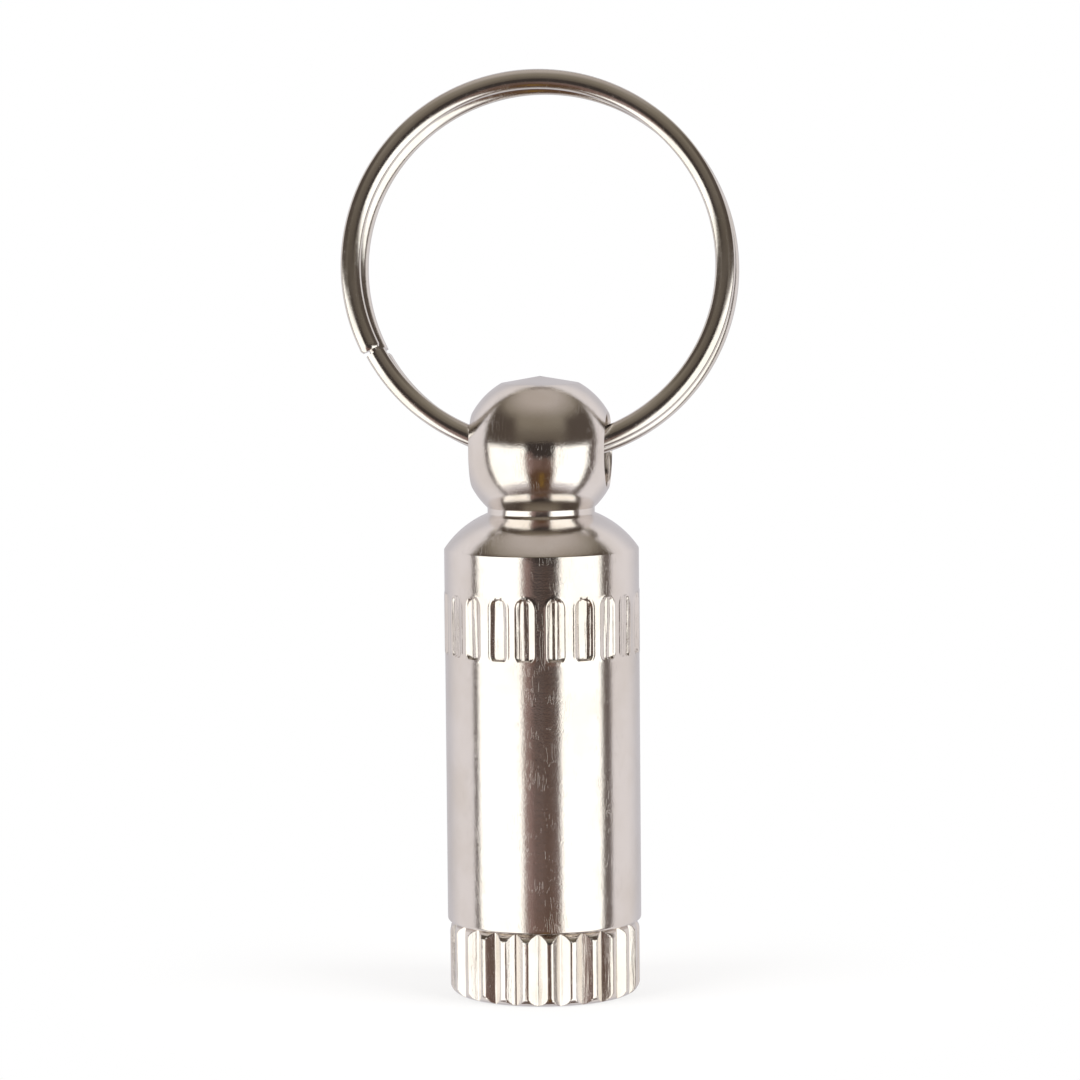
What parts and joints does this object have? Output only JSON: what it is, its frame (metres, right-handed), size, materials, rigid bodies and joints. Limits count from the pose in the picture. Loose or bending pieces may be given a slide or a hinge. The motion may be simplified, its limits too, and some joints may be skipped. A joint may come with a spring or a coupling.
{
  "type": "screw capsule key fob",
  "caption": "Slim turned metal screw capsule with a ball head on a split ring, a band of pressed grip flutes, a knurled screw plug and a rolled paper slip inside.",
  "frame": {"origin": "centre of the screw plug's flat end, on the barrel's axis", "axes": "+Z along the barrel towards the ball head, X along the ball's cross hole, +Y the way the ring leans"},
  "size_m": [0.02, 0.01, 0.0474],
  "materials": {
    "barrel_nickel": "bright nickel plate on turned brass, finely scratched",
    "plug_nickel": "bright nickel plate on knurled brass",
    "seal_rubber": "matt black rubber",
    "slip_paper": "plain uncoated paper, rolled",
    "ring_steel": "bright nickel plate on flattened spring wire"
  },
  "bodies": {
    "base": {"screw_plug": "plug_nickel", "seal_ring": "seal_rubber"},
    "slip": {"paper_slip": "slip_paper"},
    "capsule": {"barrel": "barrel_nickel"},
    "ring": {"split_ring": "ring_steel"}
  },
  "joints": [
    {"name": "capsule_lift", "type": "slide", "parent": "base", "child": "slip", "axis": [0, 0, 1], "range_m": [0, 0.0045]},
    {"name": "capsule_turn", "type": "hinge", "parent": "slip", "child": "capsule", "pos_m": [0, 0, 0], "axis": [0, 0, 1], "range_deg": [0, 2160]},
    {"name": "ring_swing", "type": "hinge", "parent": "capsule", "child": "ring", "pos_m": [0, 0, 0.028], "axis": [1, 0, 0], "range_deg": [-145, 165]}
  ],
  "couplings": [
    {"joint": "capsule_lift", "follows": "capsule_turn", "m_per_rad": 0.00011937}
  ]
}
